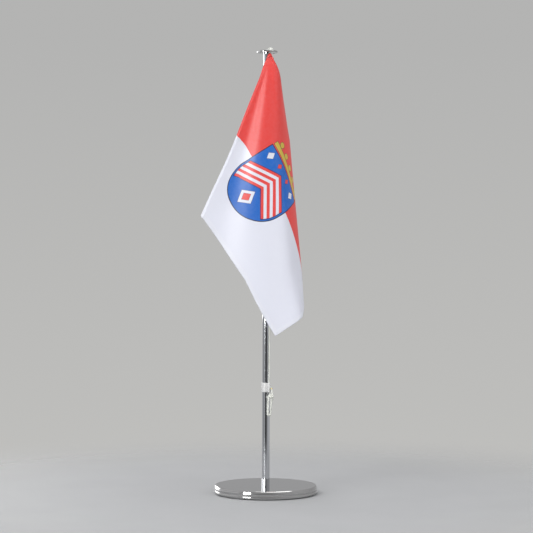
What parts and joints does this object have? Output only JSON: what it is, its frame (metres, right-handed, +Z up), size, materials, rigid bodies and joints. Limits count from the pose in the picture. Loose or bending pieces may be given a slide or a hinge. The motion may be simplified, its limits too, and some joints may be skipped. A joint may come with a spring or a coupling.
{
  "type": "desk flag stand",
  "caption": "Round chromed base with a slim upright pole, a drilled disc at its head and a small two-colour flag hung by one corner on a cord that runs down the pole to a ring.",
  "frame": {"origin": "centre of the base's underside, on the pole's axis", "axes": "+Z up along the pole; the flag's front layer faces -Y; +X is to the right seen from the front"},
  "size_m": [0.1226, 0.107, 0.4607],
  "materials": {
    "chrome": "mirror-bright chrome plate",
    "screw_chrome": "bright nickel plate",
    "foam": "matt closed-cell foam",
    "zinc": "bright zinc plate",
    "spring_steel": "blackened spring steel",
    "brass": "turned",
    "cord": "braided white polyester cord",
    "melted_end": "heat-sealed cord end, slightly yellow",
    "ring": "satin white silicone",
    "satin": "satin polyester"
  },
  "bodies": {
    "base": {"base_disc": "chrome", "base_pad": "foam", "foot_washer": "zinc"},
    "pole": {"spring_washer": "spring_steel", "foot_screw": "zinc", "foot_insert": "brass", "pole_tube": "chrome", "head_insert": "brass", "head_disc": "chrome", "head_screw": "screw_chrome", "top_knot": "cord", "flag_cord": "cord", "cord_hank": "cord", "cord_end_bead": "melted_end"},
    "ring": {"cord_ring": "ring"},
    "flag": {"hoist_sleeve": "satin", "flag_cloth": "satin"}
  },
  "joints": [
    {"name": "pole_turn", "type": "hinge", "parent": "base", "child": "pole", "pos_m": [0, 0, 0], "axis": [0, 0, 1], "continuous": true},
    {"name": "ring_slide", "type": "slide", "parent": "pole", "child": "ring", "axis": [0, 0, 1], "range_m": [0, 0.12]},
    {"name": "flag_swing", "type": "hinge", "parent": "pole", "child": "flag", "pos_m": [0.0028, -0.0068, 0.38], "axis": [0, 0, 1], "range_deg": [-15, 25]}
  ]
}
